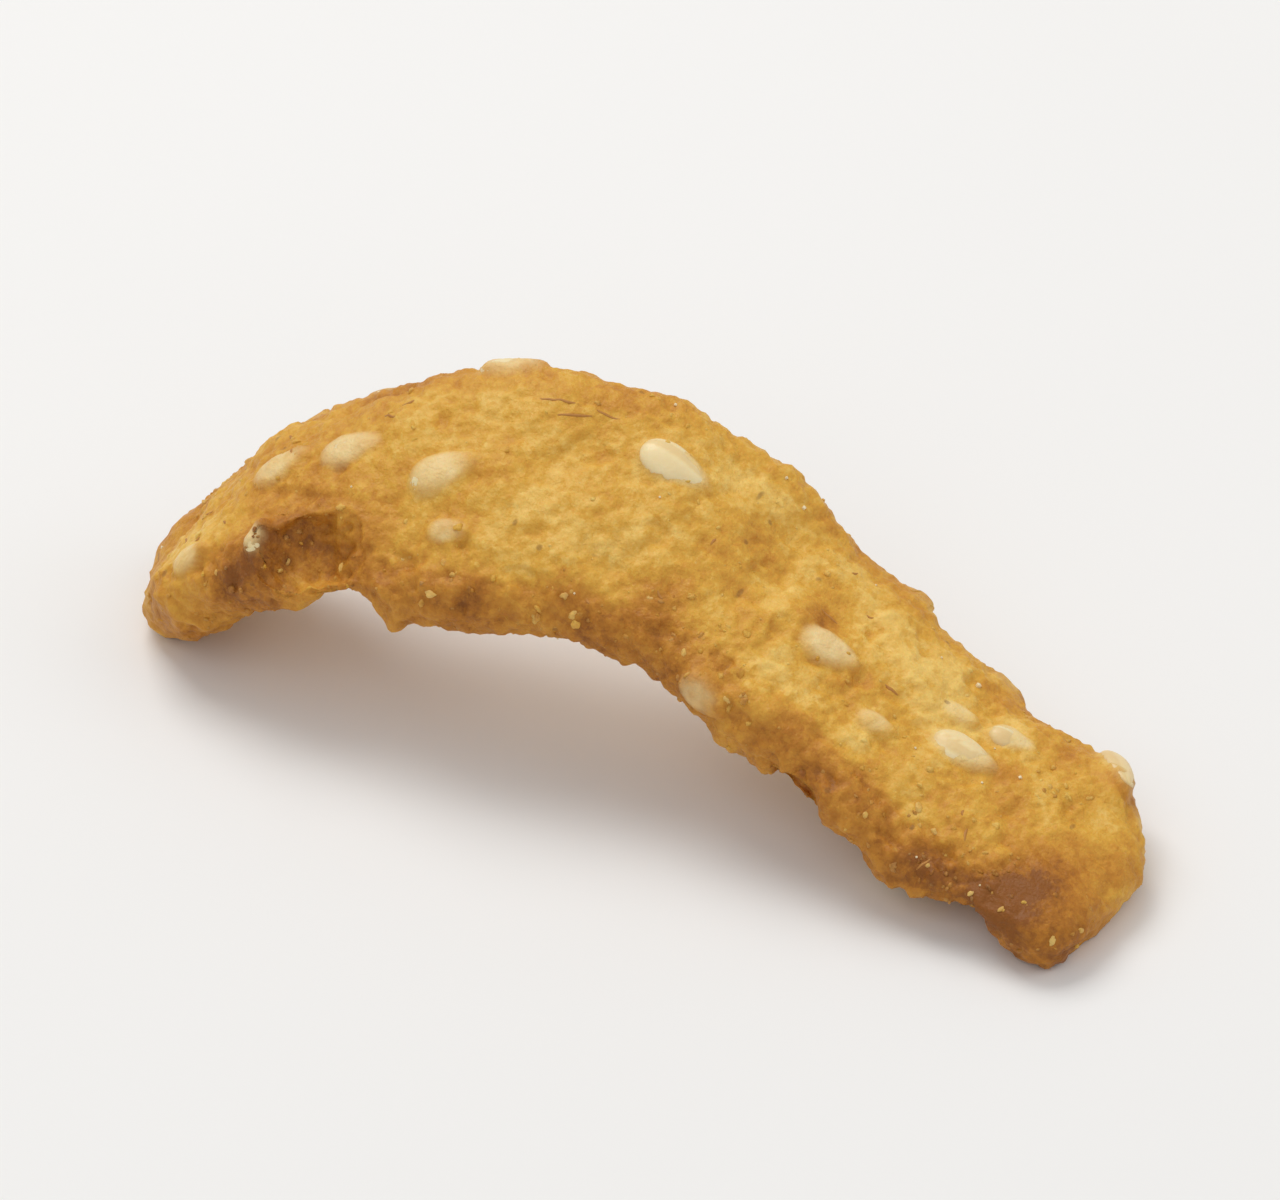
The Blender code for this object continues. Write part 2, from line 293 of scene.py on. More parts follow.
# Browner and paler patches: (along, round, reach, amount). Some are the crust's own browning; others are
# painted shade, in the scooped hollow at the left, in the hollow near the right end, down the front side
# where it lies in shadow and on the front of the right tip.
CRUST_AND_SHADE_PATCHES = (
    (47.2, 124.0, 2.2, 0.37),
    (55.0, 146.0, 2.2, 0.27),
    (51.0, 185.0, 3.2, 0.24),
    (44.4, 130.0, 0.9, 0.16),
    (48.4, 108.0, 1.0, 0.12),
    (42.4, 165.0, 2.0, 0.12),
    (42.2, 150.0, 1.0, 0.30),
    (38.4, 151.0, 1.3, 0.22),
    (39.2, 122.0, 1.1, -0.14),
    (38.4, 172.0, 1.2, -0.12),
    (55.0, 131.0, 0.9, -0.34),
    (41.2, 80.0, 0.6, 0.24),
    (35.4, 203.0, 1.8, 0.3),
    (33.6, 152.0, 1.0, 0.26),
    (30.8, 87.0, 0.7, 0.3),
    (26.3, 132.0, 1.2, 0.14),
    (29.0, 158.0, 1.2, 0.2),
    (31.4, 146.0, 0.9, 0.16),
    (25.0, 125.0, 1.2, 0.14),
    (24.5, 176.0, 2.6, 0.15),
    (22.3, 150.0, 1.3, 0.2),
    (17.9, 146.0, 1.4, 0.24),
    (14.6, 150.0, 1.3, 0.16),
    (10.2, 124.0, 1.3, 0.34),
    (12.0, 134.0, 2.0, 0.42),
    (10.4, 165.0, 1.6, -0.12),
    (7.9, 148.0, 1.5, 0.34),
    (5.4, 172.0, 1.8, 0.15),
    (3.6, 150.0, 1.5, -0.1),
    (1.0, 100.0, 2.4, 0.1),
    (13.0, 60.0, 5.0, 0.09),
    (30.0, 74.0, 4.5, -0.08),
    (36.5, 84.0, 4.0, -0.1),
    (22.5, 98.0, 4.5, -0.05),
    (4.6, 128.0, 2.0, -0.15),
)

# Cells of the box that the skin is made from: along, across and through.
CELLS = (380, 84, 30)

# How far under the feet the floor lies, in metres.
FLOOR_GAP = 0.00004

CAMERA_AZIMUTH = 31.0
CAMERA_ELEVATION = 38.0
CAMERA_DISTANCE = 0.241
CAMERA_LENS = 178.0
SURROUNDINGS = 0.5
# Soft square lights: (name, turn from the camera, elevation, distance, size, power, colour).
LAMPS = (
    ("key", -150.0, 58.0, 0.5, 0.28, 1.2, (1.0, 0.985, 0.96)),
    ("side", 80.0, 40.0, 0.5, 0.3, 0.3, (1.0, 0.99, 0.97)),
    ("front", -20.0, 50.0, 0.6, 0.4, 0.4, (1.0, 1.0, 1.0)),
)


def eased(stops, along):
    """The value of a curve at a distance along the ribbon."""
    value = stops[0][1]
    for (start, low), (end, high) in zip(stops, stops[1:]):
        step = np.clip((along - start) / (end - start), 0.0, 1.0)
        value = value + (high - low) * step * step * (3.0 - 2.0 * step)
    return value


def ribbon_frame(along):
    """The ribbon's middle line at some distances along it, with its backward and upward directions."""
    table = np.arange(-OVERRUN, LENGTH + OVERRUN, SPINE_STEP)
    heading = np.radians(eased(HEADING, table))
    pitch = np.radians(eased(PITCH, table))
    flat = np.cos(pitch)
    steps = np.stack((flat * np.cos(heading), flat * np.sin(heading), np.sin(pitch)), axis=1)
    line = np.cumsum(steps * SPINE_STEP, axis=0)
    line -= line[round(OVERRUN / SPINE_STEP)]
    middle = np.stack([np.interp(along, table, line[:, axis]) for axis in range(3)], axis=1)
    heading = np.radians(eased(HEADING, along))
    pitch = np.radians(eased(PITCH, along))
    roll = np.radians(eased(ROLL, along))[:, None]
    level = np.stack((-np.sin(heading), np.cos(heading), np.zeros_like(heading)), axis=1)
    flat = np.cos(pitch)
    forward = np.stack((flat * np.cos(heading), flat * np.sin(heading), np.sin(pitch)), axis=1)
    lift = np.cross(forward, level)
    back = level * np.cos(roll) + lift * np.sin(roll)
    up = lift * np.cos(roll) - level * np.sin(roll)
    return middle, back, up


def skin(box):
    """Carries points on a box with sides at -1 and 1 to the stick's smooth skin."""
    a, b, c = box.T
    ring = np.maximum(np.abs(b), np.abs(c))
    section = (np.abs(b) ** SECTION_POWER + np.abs(c) ** SECTION_POWER) ** (1.0 / SECTION_POWER)
    power = np.where(a < 0.0, LEFT_END_POWER, RIGHT_END_POWER)
    rounding = (np.abs(a) ** power + ring ** power) ** (-1.0 / power)
    scale = rounding * ring / np.maximum(section, 1e-9)
    along = (a * rounding + 1.0) * LENGTH / 2.0
    across = b * scale * eased(WIDTH, along) / 2.0
    height = c * scale * eased(THICKNESS, along) / 2.0
    left = eased(((0.0, LEFT_SLANT), (SLANT_REACH, 0.0)), along)
    right = eased(((LENGTH - SLANT_REACH, 0.0), (LENGTH, RIGHT_SLANT)), along)
    middle, back, up = ribbon_frame(along + across * (left + right))
    return middle + back * across[:, None] + up * height[:, None]


def spot(along, around):
    """A point of the smooth skin, its outward direction and the direction along the ribbon there."""
    angle = math.radians(around)
    reach = max(abs(math.cos(angle)), abs(math.sin(angle)))
    a = 2.0 * along / LENGTH - 1.0
    b = math.cos(angle) / reach
    c = math.sin(angle) / reach
    beside = math.radians(around + SPOT_TURN)
    beside_reach = max(abs(math.cos(beside)), abs(math.sin(beside)))
    near = np.array((
        (a, b, c),
        (a + SPOT_STEP, b, c),
        (a, math.cos(beside) / beside_reach, math.sin(beside) / beside_reach),
    ))
    here, ahead, round_it = (Vector(point) for point in skin(near))
    forward = (ahead - here).normalized()
    outward = (round_it - here).cross(forward).normalized()
    return here, outward, forward


def turned_spot(along, around, turn):
    """A point of the smooth skin, its outward direction, and axes: X along the ribbon, Z outward."""
    here, outward, forward = spot(along, around)
    side = outward.cross(forward).normalized()
    axes = Matrix((side.cross(outward), side, outward)).transposed()
    return here, outward, axes @ Matrix.Rotation(math.radians(turn), 3, "Z")


def noise_at(points, size, shift):
    """Smooth noise of one size at many points."""
    offset = Vector((0.0, 0.0, shift))
    return np.array([noise.noise(Vector(point) + offset) for point in points / size])


def spread(points, places):
    """The sum of some round patches, (along, round, reach, amount), at many points."""
    total = np.zeros(len(points))
    for along, around, reach, amount in places:
        away = np.linalg.norm(points - np.array(spot(along, around)[0]), axis=1)
        total += amount * np.exp(-((away / reach) ** 2))
    return total


def press_hollows(points, hollows):
    """Moves points that are inside a ball out to its surface."""
    for along, around, lift, radius in hollows:
        here, outward, _ = spot(along, around)
        away = points - np.array(here + outward * lift)
        far = np.linalg.norm(away, axis=1)
        ball = radius + HOLLOW_RISE * noise_at(points, HOLLOW_BUMP, 0.0)
        inside = far < ball
        points[inside] += away[inside] * (ball[inside] / far[inside] - 1.0)[:, None]
    return points


def between(low, high, value):
    """0 below low, 1 above high, eased in between."""
    step = np.clip((value - low) / (high - low), 0.0, 1.0)
    return step * step * (3.0 - 2.0 * step)


def read_points(mesh):
    points = np.empty(len(mesh.vertices) * 3)
    mesh.vertices.foreach_get("co", points)
    return points.reshape(-1, 3)


def write_points(mesh, points):
    mesh.vertices.foreach_set("co", points.ravel())
    mesh.update()


def read_normals(mesh):
    normals = np.empty(len(mesh.vertices) * 3)
    mesh.vertex_normals.foreach_get("vector", normals)
    return normals.reshape(-1, 3)


def write_attribute(mesh, name, values):
    mesh.attributes.new(name, "FLOAT", "POINT").data.foreach_set("value", values.astype(np.float32))


def surface_of(mesh):
    """A mesh as something rays can hit."""
    bm = bmesh.new()
    bm.from_mesh(mesh)
    tree = BVHTree.FromBMesh(bm)
    bm.free()
    return tree


def cut_box(cells):
    """A box with sides at -1 and 1, cut into cells along each axis."""
    bm = bmesh.new()
    bmesh.ops.create_cube(bm, size=2.0)
    for axis, count in enumerate(cells):
        edges = [edge for edge in bm.edges if abs((edge.verts[0].co - edge.verts[1].co)[axis]) > 1e-6]
        bmesh.ops.subdivide_edges(bm, edges=edges, cuts=count - 1, use_grid_fill=True)
    return bm


def mesh_from(name, bm):
    mesh = bpy.data.meshes.new(name)
    bm.to_mesh(mesh)
    bm.free()
    mesh.shade_smooth()
    return mesh


def place(name, mesh, material):
    """Brings a finished mesh to metres and the frame's origin, and shows it."""
    to_origin = Matrix.Translation((-MIDDLE_X, -MIDDLE_Y, -FLOOR))
    mesh.transform(Matrix.Scale(MILLIMETRE, 4) @ to_origin)
    mesh.materials.append(material)
    piece = bpy.data.objects.new(name, mesh)
    bpy.context.scene.collection.objects.link(piece)
    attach(piece, BODY)
    return piece


def hidden_seeds():
    """Random places for the seeds on the sides that don't show, spaced and clear of the hollows."""
    draw = random.Random(SEED_DRAW)
    film_draw = random.Random(FILM_DRAW)
    taken = [spot(place[0], place[1])[0] for place in SHOWN_SEEDS + HOLLOWS]
    seeds = []
    for _ in range(SEED_TRIES):
        along = draw.uniform(SEED_MARGIN, LENGTH - SEED_MARGIN)
        around = draw.uniform(0.0, 360.0)
        turn = draw.uniform(-90.0, 90.0)
        proud = draw.uniform(*HIDDEN_PROUD)
        here, outward, _ = spot(along, around)
        if len(seeds) == HIDDEN_SEEDS or outward.dot(Vector(SHOWN_SIDE)) > -SHOWN_MARGIN:
            continue
        if any((here - other).length < SEED_SPACING for other in taken):
            continue
        taken.append(here)
        seeds.append((along, around, turn, 1.0, proud, film_draw.uniform(*HIDDEN_FILM)))
    return seeds


def seat_seeds(surface):
    """Where each seed lies: its place on the skin, its axes, its size, how proud it is and its film."""
    seats = []
    for along, around, turn, size, proud, film in list(SHOWN_SEEDS) + hidden_seeds():
        here, outward, axes = turned_spot(along, around, turn)
        hit = surface.ray_cast(here + outward * RAY_START, -outward)[0]
        seats.append((hit, axes, size, proud, film))
    return seats


def press_round_seeds(points, seats):
    """Raises the dough round each seed, and over it where it has a film. Tells how thin the film is."""
    pale = np.zeros(len(points))
    patchy = np.zeros(len(points))
    for layer_size, height, shift in FILM_LAYERS:
        patchy += height * noise_at(points, layer_size, shift)
    for hit, axes, size, proud, film in seats:
        turned = np.array(axes)
        local = (points - np.array(hit)) @ turned
        half = size * SEED_LENGTH / 2.0
        slim = 1.0 - SEED_TAPER * np.clip(local[:, 0] / half, -1.0, 1.0)
        reach = np.hypot(local[:, 0] / half, local[:, 1] / (slim * size * SEED_WIDTH / 2.0))
        near = (np.abs(local[:, 2]) < SEED_HEIGHT) & (reach < SEED_REACH)
        inside = np.clip(1.0 - reach[near] ** 2, 0.0, 1.0)
        thick = size * SEED_THICKNESS / 2.0
        dome = proud - thick + slim[near] * thick * np.sqrt(inside)
        dome -= np.clip(reach[near] - 1.0, 0.0, None) * SEED_SKIRT
        wanted = dome + film + patchy[near] + TIP_FILM * between(0.0, 1.0, local[near, 0] / half)
        height = local[near, 2]
        mix = np.clip(0.5 + 0.5 * (wanted - height) / COLLAR, 0.0, 1.0)
        risen = height + (wanted - height) * mix + COLLAR * mix * (1.0 - mix)
        points[near] += (risen - height)[:, None] * turned[:, 2]
        cover = risen - dome
        thin = (1.0 - between(*FILM_SEEN, cover)) * (1.0 - between(*SEED_SEEN, reach[near]))
        pale[near] = np.maximum(pale[near], thin)
    return pale


def browning_and_painted_shade(box, points, grain):
    """How brown the crust is: down the edges, at the tips and in patches, with painted shade in some
    patches and low in the grain, and painted light high on it.
    """
    a, b, c = box.T
    edge = np.where(b < 0.0, FRONT_EDGE_BROWN, BACK_EDGE_BROWN) * between(*EDGE_BAND, np.abs(b))
    edge *= 1.0 - EDGE_TOP_PALER * between(0.0, 1.0, c)
    under = UNDER_BROWN * between(*FAR_BAND, -c)
    tip = TIP_BROWN * between(*FAR_BAND, np.abs(a))
    # The grain's term is painted shade in its lows and painted light on its highs.
    brown = BASE_BROWN + np.maximum(edge, under) + tip - GRAIN_PAINTED_SHADE * grain
    cloud_size, cloud, cloud_shift = CLOUDS
    blotch_size, blotch, blotch_shift = BLOTCHES
    mottle = blotch + RIGHT_BLOTCHES * between(*RIGHT_BAND, a)
    uneven = cloud * noise_at(points, cloud_size, cloud_shift)
    uneven += mottle * noise_at(points, blotch_size, blotch_shift)
    # The patches add the crust's own browning and painted shade in the hollows, down the shaded front
    # side and on the right tip.
    return brown + uneven + spread(points, CRUST_AND_SHADE_PATCHES)


def make_dough():
    """The ribbon of dough with all its relief, and where its seeds sit."""
    bm = cut_box(CELLS)
    mesh = mesh_from("dough_skin", bm)
    box = read_points(mesh)
    points = skin(box)
    write_points(mesh, points)
    rise = spread(points, LUMPS)
    for layer, (size, height) in enumerate(BUMPS):
        rise += height * noise_at(points, size, LAYER_SHIFT * layer)
    points = points + read_normals(mesh) * rise[:, None]
    pressed = press_hollows(points.copy(), HOLLOWS)
    sunk = between(*SUNK_BAND, np.linalg.norm(pressed - points, axis=1))
    points = pressed
    write_points(mesh, points)
    seats = seat_seeds(surface_of(mesh))
    edge = between(*EDGE_CRUMBLE_BAND, np.maximum(-box[:, 1], -box[:, 2]))
    crumbly = np.maximum(EDGE_CRUMBLE * edge, sunk)
    grain = np.zeros(len(points))
    for layer, (size, height) in enumerate(CRUMBLE):
        grain += height * crumbly * noise_at(points, size, CRUMBLE_SHIFT + LAYER_SHIFT * layer)
    for layer, (size, height) in enumerate(PEBBLES):
        lumps = noise_at(points, size, PEBBLE_SHIFT + LAYER_SHIFT * layer)
        grain += height * (2.0 * np.abs(lumps) - PEBBLE_CREASE)
    for layer, (size, height) in enumerate(GRAIN):
        grain += height * noise_at(points, size, GRAIN_SHIFT + LAYER_SHIFT * layer)
    pits = between(*PIT_BAND, noise_at(points, PIT_SIZE, PIT_SHIFT))
    grain -= PIT_DEPTH * pits
    points = points + read_normals(mesh) * grain[:, None]
    brown = browning_and_painted_shade(box, points, grain)
    pale = press_round_seeds(points, seats)
    points[:, 2] = np.maximum(points[:, 2], FLOOR)
    write_points(mesh, points)
    write_attribute(mesh, "brown", brown)
    write_attribute(mesh, "pale", pale)
    return mesh, seats


def drop_shape(bm, length, width, thickness, taper, sides, rings):
    """A flat drop along X with its point at +X, added to bm. Returns its corners."""
    made = bmesh.ops.create_uvsphere(bm, u_segments=sides, v_segments=rings, radius=0.5)["verts"]
    for vert in made:
        x, y, z = vert.co
        slim = 1.0 - taper * 2.0 * z
        vert.co = (z * length, x * slim * width, y * slim * thickness)
    return made


def make_seeds(seats, material):
    """All the seeds as one mesh, each a little different."""
    draw = random.Random(SHAPE_DRAW)
    bm = bmesh.new()
    tones = []
    for hit, axes, size, proud, _ in seats:
        length = size * SEED_LENGTH * draw.uniform(*SEED_STRETCH)
        width = size * SEED_WIDTH
        thickness = size * SEED_THICKNESS
        tone = draw.random()
        made = drop_shape(bm, length, width, thickness, SEED_TAPER, SEED_SIDES, SEED_RINGS)
        shift = Vector((draw.uniform(0.0, 50.0), 0.0, 0.0))
        for vert in made:
            bump = noise.noise(vert.co / SEED_BUMP + shift)
            vert.co += vert.co.normalized() * SEED_BUMP_HEIGHT * bump
            vert.co.z += SEED_RIDGE * math.cos(vert.co.y / SEED_WIDTH * math.tau)
        centre = hit + axes.col[2] * (proud - thickness / 2.0)
        bmesh.ops.transform(bm, matrix=Matrix.Translation(centre) @ axes.to_4x4(), verts=made)
        tones += [tone] * len(made)
    mesh = mesh_from("sesame_seeds", bm)
    write_attribute(mesh, "tone", np.array(tones))
    return place("sesame_seeds", mesh, material)


def land(surface, along, around):
    """A spot on the finished skin: the point there and its outward direction."""
    here, outward, _ = spot(along, around)
    return surface.ray_cast(here + outward * RAY_START, -outward)[0], outward


def random_spot(draw, skin_mesh):
    """A random point of the skin that is clear of the floor, and its outward direction."""
    while True:
        vert = skin_mesh.vertices[draw.randrange(len(skin_mesh.vertices))]
        if vert.co.z > FLOOR + CLEARANCE:
            return vert.co.copy(), vert.normal.copy()


def turned_axes(draw, outward):
    """Axes whose Z points outward, turned about it at random."""
    turn = Matrix.Rotation(draw.uniform(0.0, math.tau), 4, "Z")
    return outward.to_track_quat("Z", "X").to_matrix().to_4x4() @ turn


def ball(subdivisions):
    """A ball 1 across, as its corners and the corners of each of its sides."""
    bm = bmesh.new()
    bmesh.ops.create_icosphere(bm, subdivisions=subdivisions, radius=0.5)
    corners = [vert.co.copy() for vert in bm.verts]
    sides = [[vert.index for vert in face.verts] for face in bm.faces]
    bm.free()
    return corners, sides


def make_crumbs(skin_mesh, surface, material):
    """Loose crumbs of dough that stick to the skin, more of them on its brown edges."""
    draw = random.Random(CRUMB_DRAW)
    places = []
    for along, around, size in SHOWN_CRUMBS:
        places.append((*land(surface, along, around), size, SHOWN_CRUMB_TONE))
    for here, outward, size, tone in places[:]:
        for _ in range(CRUMB_NEIGHBOURS):
            shift = Vector((draw.uniform(-1.0, 1.0), draw.uniform(-1.0, 1.0), draw.uniform(-1.0, 1.0)))
            hit = surface.ray_cast(here + outward + shift * NEIGHBOUR_REACH, -outward)[0]
            if hit:
                browner = tone + NEIGHBOUR_BROWN * draw.random()
                places.append((hit, outward, size * draw.uniform(*NEIGHBOUR_SIZE), browner))
    brown = skin_mesh.attributes["brown"].data
    beside = len(places)
    while len(places) < beside + RANDOM_CRUMBS:
        index = draw.randrange(len(skin_mesh.vertices))
        vert = skin_mesh.vertices[index]
        size = CRUMB_LEAST + CRUMB_SPREAD * draw.random() ** 2
        if vert.co.z > FLOOR + CLEARANCE and draw.random() < brown[index].value:
            places.append((vert.co.copy(), vert.normal.copy(), size, brown[index].value))
    fine_ball = ball(3)
    coarse_ball = ball(2)
    points = []
    faces = []
    crumb_brown = []
    crumb_pale = []
    for index, (here, outward, size, tone) in enumerate(places):
        corners, sides = fine_ball if size > LARGE_CRUMB else coarse_ball
        shift = Vector((draw.uniform(0.0, 90.0), 0.0, 0.0))
        stretch = Vector([draw.uniform(*limits) for limits in CRUMB_STRETCH])
        sink = draw.uniform(*CRUMB_SINK)
        matrix = Matrix.Translation(here + outward * size * sink) @ turned_axes(draw, outward)
        faces += [[len(points) + corner for corner in side] for side in sides]
        for corner in corners:
            lump = 1.0 + CRUMB_LUMP * noise.noise(corner * 2.0 + shift)
            points.append(matrix @ (corner * stretch * size * lump))
        pale = draw.uniform(0.0, CRUMB_PALE)
        # The crumbs that show get extra paleness, partly their own colour and partly a painted highlight.
        if index < len(SHOWN_CRUMBS):
            pale += SHOWN_CRUMB_PALE_AND_GLINT
        crumb_brown += [tone - draw.uniform(0.0, CRUMB_TONE_SPREAD)] * len(corners)
        crumb_pale += [pale] * len(corners)
    mesh = bpy.data.meshes.new("crumbs")
    mesh.from_pydata(points, [], faces)
    mesh.shade_smooth()
    write_attribute(mesh, "brown", np.array(crumb_brown))
    write_attribute(mesh, "pale", np.array(crumb_pale))
    return place("crumbs", mesh, material)


def make_salt(skin_mesh, material):
    """Fine grains of salt: small blunt cubes."""
    draw = random.Random(SALT_DRAW)
    bm = bmesh.new()
    for _ in range(SALT_GRAINS):
        here, outward = random_spot(draw, skin_mesh)
        size = SALT_LEAST + SALT_SPREAD * draw.random() ** 2
        tilt = Matrix.Rotation(draw.uniform(-SALT_TILT, SALT_TILT), 4, "X")
        centre = Matrix.Translation(here + outward * size * SALT_LIFT)
        matrix = centre @ turned_axes(draw, outward) @ tilt
        made = bmesh.ops.create_cube(bm, size=size, matrix=matrix)["verts"]
        edges = list({edge for vert in made for edge in vert.link_edges})
        offset = size * SALT_BEVEL
        bmesh.ops.bevel(bm, geom=edges, offset=offset, segments=2, affect="EDGES", profile=0.5)
    return place("salt_grains", mesh_from("salt_grains", bm), material)


def make_bran(skin_mesh, surface, material):
    """Brown slivers of bran that lie along the skin, almost level with it."""
    draw = random.Random(BRAN_DRAW)
    bm = bmesh.new()
    places = []
    for along, around, length, turn in SHOWN_BRAN:
        here, outward, axes = turned_spot(along, around, turn)
        places.append((here, outward, axes.to_4x4(), length))
    for _ in range(BRAN_FLECKS):
        here, outward = random_spot(draw, skin_mesh)
        axes = turned_axes(draw, outward)
        places.append((here, outward, axes, BRAN_LEAST + BRAN_SPREAD * draw.random() ** 2))
    for here, outward, axes, length in places:
        made = drop_shape(bm, length, BRAN_WIDTH, BRAN_THICKNESS, BRAN_TAPER, BRAN_SIDES, BRAN_RINGS)
        bow = draw.uniform(-BRAN_BOW, BRAN_BOW)
        matrix = Matrix.Translation(here) @ axes
        for vert in made:
            height = vert.co.z
            level = matrix @ Vector((vert.co.x, vert.co.y + bow * (vert.co.x / length) ** 2, 0.0))
            hit = surface.ray_cast(level + outward, -outward)[0]
            vert.co = (hit or level) + outward * (height - BRAN_SINK)
    return place("bran_flecks", mesh_from("bran_flecks", bm), material)


class Paint:
    """A material's node tree, with the few kinds of node that the surfaces here are made of."""

    def __init__(self, name):
        self.material = bpy.data.materials.new(name)
        self.material.use_nodes = True
        self.nodes = self.material.node_tree.nodes
        self.links = self.material.node_tree.links
        self.shader = self.nodes["Principled BSDF"]
        self.position = self.nodes.new("ShaderNodeTexCoord").outputs["Object"]

    def link(self, value, socket):
        """Sets a socket to a number or a colour, or links an output to it."""
        if isinstance(value, bpy.types.NodeSocket):
            self.links.new(value, socket)
        else:
            socket.default_value = value

    def set(self, name, value):
        self.link(value, self.shader.inputs[name])

    def attribute(self, name):
        node = self.nodes.new("ShaderNodeAttribute")
        node.attribute_name = name
        return node.outputs["Fac"]

    def math(self, operation, first, second=0.0, third=0.0):
        node = self.nodes.new("ShaderNodeMath")
        node.operation = operation
        for value, socket in zip((first, second, third), node.inputs):
            self.link(value, socket)
        return node.outputs[0]

    def noise(self, size, detail=2.0, shift=0.0):
        """Noise from -0.5 to 0.5 with features of a size in millimetres."""
        node = self.nodes.new("ShaderNodeTexNoise")
        node.noise_dimensions = "4D"
        node.inputs["W"].default_value = shift
        node.inputs["Scale"].default_value = 1.0 / (size * MILLIMETRE)
        node.inputs["Detail"].default_value = detail
        self.links.new(self.position, node.inputs["Vector"])
        return self.math("SUBTRACT", node.outputs[0], 0.5)

    def grains(self, size, shift=0.0):
        """A number from -0.5 to 0.5 that differs from one uneven grain to the next."""
        bend = self.nodes.new("ShaderNodeTexNoise")
        bend.inputs["Scale"].default_value = 1.5 / (size * MILLIMETRE)
        self.links.new(self.position, bend.inputs["Vector"])
        moved = self.nodes.new("ShaderNodeVectorMath")
        moved.operation = "MULTIPLY_ADD"
        self.links.new(bend.outputs["Color"], moved.inputs[0])
        moved.inputs[1].default_value = (size * MILLIMETRE,) * 3
        self.links.new(self.position, moved.inputs[2])
        node = self.nodes.new("ShaderNodeTexVoronoi")
        node.voronoi_dimensions = "4D"
        node.inputs["W"].default_value = shift
        node.inputs["Scale"].default_value = 1.0 / (size * MILLIMETRE)
        self.links.new(moved.outputs[0], node.inputs["Vector"])
        split = self.nodes.new("ShaderNodeSeparateColor")
        self.links.new(node.outputs["Color"], split.inputs[0])
        return self.math("SUBTRACT", split.outputs[0], 0.5)

    def ramp(self, value, stops):
        node = self.nodes.new("ShaderNodeValToRGB")
        points = node.color_ramp.elements
        while len(points) < len(stops):
            points.new(0.5)
        for point, (where, colour) in zip(points, stops):
            point.position = where
            point.color = (*colour, 1.0)
        self.link(value, node.inputs[0])
        return node.outputs[0]

    def mix(self, amount, low, high):
        node = self.nodes.new("ShaderNodeMix")
        node.data_type = "RGBA"
        self.link(amount, node.inputs[0])
        self.link(low if isinstance(low, bpy.types.NodeSocket) else (*low, 1.0), node.inputs[6])
        self.link(high if isinstance(high, bpy.types.NodeSocket) else (*high, 1.0), node.inputs[7])
        return node.outputs[2]

    def specks(self, spacing, size, share, stretch=(1.0, 1.0, 1.0), turn=(0.0, 0.0, 0.0)):
        """1 inside scattered specks and 0 outside, sizes in millimetres. Stretch makes them streaks."""
        mapping = self.nodes.new("ShaderNodeMapping")
        mapping.inputs["Rotation"].default_value = turn
        mapping.inputs["Scale"].default_value = stretch
        self.links.new(self.position, mapping.inputs["Vector"])
        node = self.nodes.new("ShaderNodeTexVoronoi")
        node.inputs["Scale"].default_value = 1.0 / (spacing * MILLIMETRE)
        self.links.new(mapping.outputs[0], node.inputs["Vector"])
        split = self.nodes.new("ShaderNodeSeparateColor")
        self.links.new(node.outputs["Color"], split.inputs[0])
        chosen = self.math("LESS_THAN", split.outputs[0], share)
        radius = size / spacing / 2.0
        edge = self.nodes.new("ShaderNodeMapRange")
        edge.inputs["From Min"].default_value = radius * 1.25
        edge.inputs["From Max"].default_value = radius * 0.7
        self.links.new(node.outputs["Distance"], edge.inputs["Value"])
        return self.math("MULTIPLY", edge.outputs[0], chosen)

    def bump(self, height, distance, strength):
        node = self.nodes.new("ShaderNodeBump")
        node.inputs["Strength"].default_value = strength
        node.inputs["Distance"].default_value = distance * MILLIMETRE
        self.link(height, node.inputs["Height"])
        self.links.new(node.outputs[0], self.shader.inputs["Normal"])


# The crust's colours, from pale to brown.
CRUST = (
    (0.0, (0.86, 0.57, 0.15)),
    (0.3, (0.715, 0.385, 0.05)),
    (0.52, (0.61, 0.275, 0.032)),
    (0.76, (0.46, 0.175, 0.016)),
    (1.0, (0.26, 0.085, 0.009)),
)
# Uneven colour of the crust: (size, amount, shift) of each layer of soft noise and of sharper grains.
CRUST_NOISE = ((2.4, 0.30, 1.0), (0.8, 0.40, 2.0), (0.3, 0.34, 3.0), (0.14, 0.20, 3.5))
CRUST_GRAINS = ((0.42, 0.12, 1.0), (0.24, 0.10, 2.0))
# Dark streaks: how specks are stretched and turned.
STREAKS = (
    ((0.3, 1.0, 1.0), (0.3, 0.2, 0.5)),
    ((1.0, 0.3, 1.0), (0.5, 0.1, 0.2)),
)
FILM_COLOUR = (0.86, 0.65, 0.31)
STREAK_COLOUR = (0.17, 0.068, 0.022)
SEED_COLOURS = (
    (0.0, (0.90, 0.73, 0.41)),
    (0.5, (0.86, 0.66, 0.33)),
    (1.0, (0.78, 0.55, 0.25)),
)
SALT_COLOURS = ((0.86, 0.72, 0.46), (0.82, 0.62, 0.34))
BRAN_COLOURS = ((0.40, 0.15, 0.022), (0.54, 0.25, 0.045))
FLOOR_COLOURS = ((0.86, 0.855, 0.845), (0.88, 0.875, 0.868))


